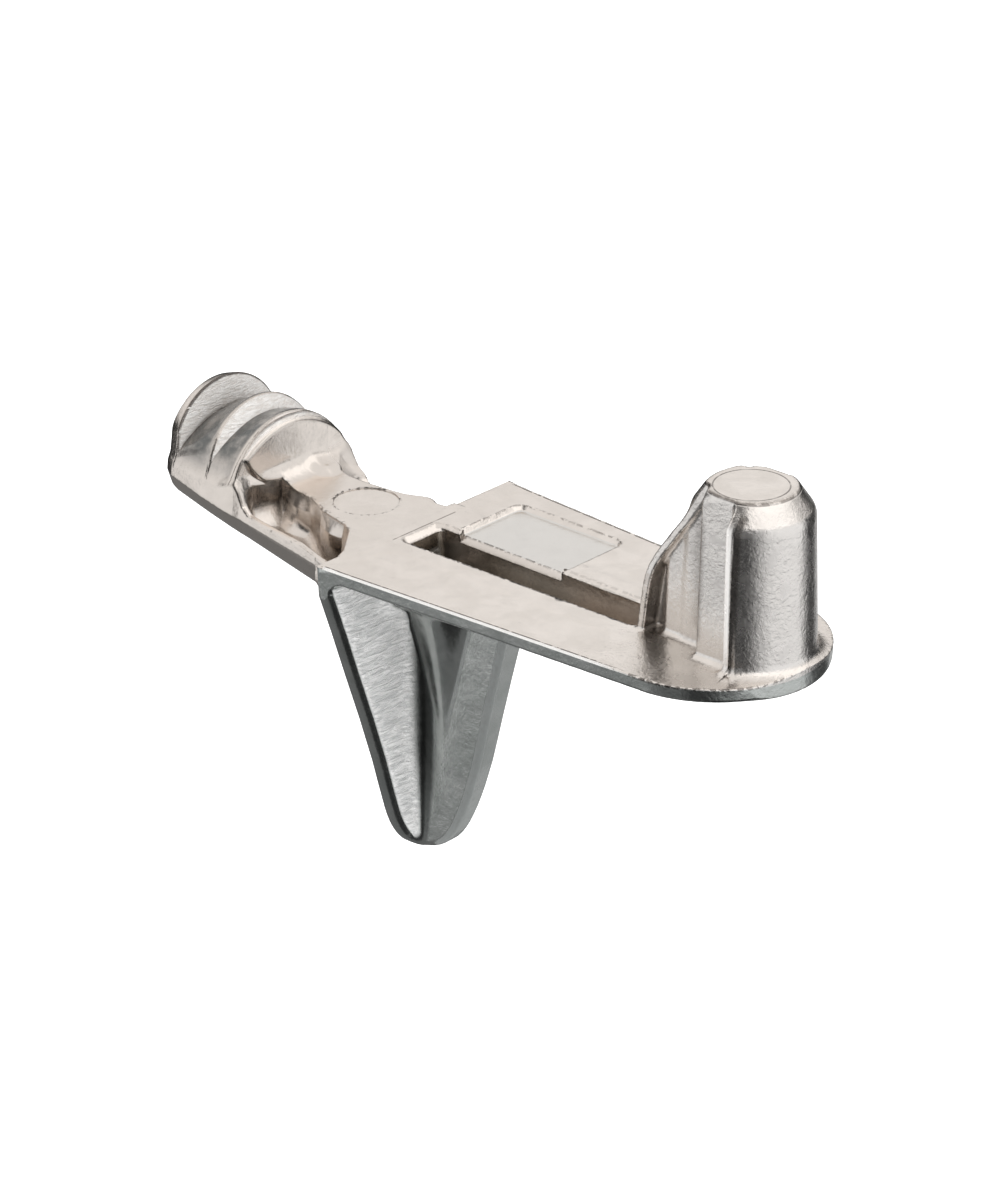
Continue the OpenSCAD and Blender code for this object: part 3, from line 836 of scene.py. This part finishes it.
# the brushed face is dull enough to scatter light
nt.links.new(m("SUBTRACT", 1.0, m("MULTIPLY", m("MAXIMUM", m("MAXIMUM", m("MAXIMUM", v_face, plate_edge_highlight), m("MAXIMUM", lip_highlight, m("MAXIMUM", nook_m, gusset_arris_shade))), m("MULTIPLY", catch, 0.90)), 0.72)), bsdf.inputs["Metallic"])


def bump(h_, dist, strength, after=None):
    n = nt.nodes.new("ShaderNodeBump")
    n.inputs["Distance"].default_value = dist
    put(n.inputs["Strength"], strength)
    put(n.inputs["Height"], h_)
    if after is not None:
        nt.links.new(after, n.inputs["Normal"])
    return n.outputs[0]


nb = bump(noise_at(P35, 0.24, 3.0, 0.6, 0.5), 0.75 * U, m("ADD", m("MULTIPLY", skin, 0.30), 0.30))
nb = bump(noise_at(P35, 0.045, 2.0, 0.5), 1.6 * U, 0.30, nb)
nb = bump(brush_v, 3.2 * U, v_face, nb)
nb = bump(brush_c, 1.5 * U, catch, nb)
nb = bump(m("SUBTRACT", 1.0, dark), 0.8 * U, 0.6, nb)
nt.links.new(nb, bsdf.inputs["Normal"])
me2.materials.clear()
me2.materials.append(mat)

# ------------------------------------------------------------------------------------------------
# Camera, floor, light
# ------------------------------------------------------------------------------------------------
cam_d = bpy.data.cameras.new("camera")
cam = bpy.data.objects.new("camera", cam_d)
bpy.context.collection.objects.link(cam)
el, az = math.radians(25.354), math.radians(42.324)
right = Vector((math.cos(az), math.sin(az), 0))
fh = Vector((-math.sin(az), math.cos(az), 0))
fwd = fh * math.cos(el) - Vector((0, 0, 1)) * math.sin(el)
up = fh * math.sin(el) + Vector((0, 0, 1)) * math.cos(el)
cam.matrix_world = Matrix((
    (right.x, up.x, -fwd.x, 0.080655),
    (right.y, up.y, -fwd.y, -0.084980),
    (right.z, up.z, -fwd.z, 0.053052),
    (0, 0, 0, 1),
))
cam_d.lens = 135.0
cam_d.sensor_width = 36.0
cam_d.clip_start = 0.001
cam_d.clip_end = 10.0
bpy.context.scene.camera = cam

fm = bpy.data.meshes.new("floor")
s = 2.0
fm.from_pydata([(-s, -s, -0.045), (s, -s, -0.045), (s, s, -0.045), (-s, s, -0.045)], [], [(0, 1, 2, 3)])
floor = bpy.data.objects.new("floor", fm)
bpy.context.collection.objects.link(floor)
fmat = bpy.data.materials.new("floor_white")
fmat.use_nodes = True
fb = fmat.node_tree.nodes["Principled BSDF"]
fb.inputs["Base Color"].default_value = (0.9, 0.9, 0.9, 1)
fb.inputs["Roughness"].default_value = 0.9
fb.inputs["Emission Color"].default_value = (1, 1, 1, 1)
fb.inputs["Emission Strength"].default_value = 0.85
fm.materials.append(fmat)
floor.visible_glossy = False

# the studio: soft boxes round a grey room, each a smooth-edged patch of sky
# azimuth, elevation, half width, half height, softness to the right, to the left and up and down
# (degrees), brightness
BOXES = [
    (134, 56, 62, 40, 20, 20, 9, 1.00),      # large overhead box behind the part
    (18, 17, 30, 45, 50, 8, 6, 1.02),         # big box on the right
    (8, 46, 46, 14, 12, 12, 8, 1.45),         # its bright upper half
    (44, 20, 4, 40, 4, 4, 4, 1.15),           # narrow strip on the right
    (-131, 21, 15, 43, 10, 10, 6, 1.00),      # box on the left
    (-74, 12, 2.5, 24, 4, 4, 6, 0.55),        # thin strip in front
    (107, -22, 9, 7, 6, 6, 6, 0.62),         # low reflector behind
    (-150, 50, 28, 10, 12, 12, 12, 0.80),
    (-136, -28, 22, 8, 10, 10, 10, 0.30),     # dim floor on the left
    (62, -58, 40, 22, 12, 12, 12, 0.36),      # floor on the right
    (-150, -62, 70, 30, 12, 12, 12, 0.20),    # floor on the left
]
ROOM = 0.035
world = bpy.data.worlds.new("studio")
bpy.context.scene.world = world
world.use_nodes = True
wt = world.node_tree
bg = wt.nodes["Background"]
wtc = wt.nodes.new("ShaderNodeTexCoord")
wnorm = wt.nodes.new("ShaderNodeVectorMath")
wnorm.operation = "NORMALIZE"
wt.links.new(wtc.outputs["Generated"], wnorm.inputs[0])
wsep = wt.nodes.new("ShaderNodeSeparateXYZ")
wt.links.new(wnorm.outputs[0], wsep.inputs[0])


def wmath(op, a, b=None, c=None):
    n = wt.nodes.new("ShaderNodeMath")
    n.operation = op
    for i, v in enumerate((a, b, c)):
        if v is None:
            continue
        if hasattr(v, "links"):
            wt.links.new(v, n.inputs[i])
        else:
            n.inputs[i].default_value = v
    return n.outputs[0]


def wramp(v, lo_, hi_):
    """1 below lo_, 0 above hi_, smooth between"""
    n = wt.nodes.new("ShaderNodeMapRange")
    n.interpolation_type = "SMOOTHSTEP"
    wt.links.new(v, n.inputs[0])
    n.inputs[1].default_value = lo_
    n.inputs[2].default_value = hi_
    n.inputs[3].default_value = 1.0
    n.inputs[4].default_value = 0.0
    return n.outputs[0]


w_az = wmath("ARCTAN2", wsep.outputs[1], wsep.outputs[0])
w_el = wmath("ARCSINE", wsep.outputs[2])
total = None
for baz, bel, bw, bh, bsr, bsl, bs, bl in BOXES:
    da = wmath("WRAP", wmath("SUBTRACT", w_az, math.radians(baz)), math.pi, -math.pi)
    # near the zenith a box covers every azimuth
    da = wmath("MULTIPLY", da, wmath("COSINE", w_el)) if bel > 40 else da
    de = wmath("ABSOLUTE", wmath("SUBTRACT", w_el, math.radians(bel)))
    m = wmath("MULTIPLY", wramp(da, math.radians(bw), math.radians(bw + bsl)),
              wramp(wmath("MULTIPLY", da, -1.0), math.radians(bw), math.radians(bw + bsr)))
    m = wmath("MULTIPLY", m, wramp(de, math.radians(bh), math.radians(bh + bs)))
    m = wmath("MULTIPLY", m, bl)
    total = m if total is None else wmath("MAXIMUM", total, m)
total = wmath("MAXIMUM", total, ROOM)
wt.links.new(total, bg.inputs["Strength"])
bg.inputs["Color"].default_value = (1, 1, 1, 1)
bpy.context.scene.view_settings.view_transform = "Standard"

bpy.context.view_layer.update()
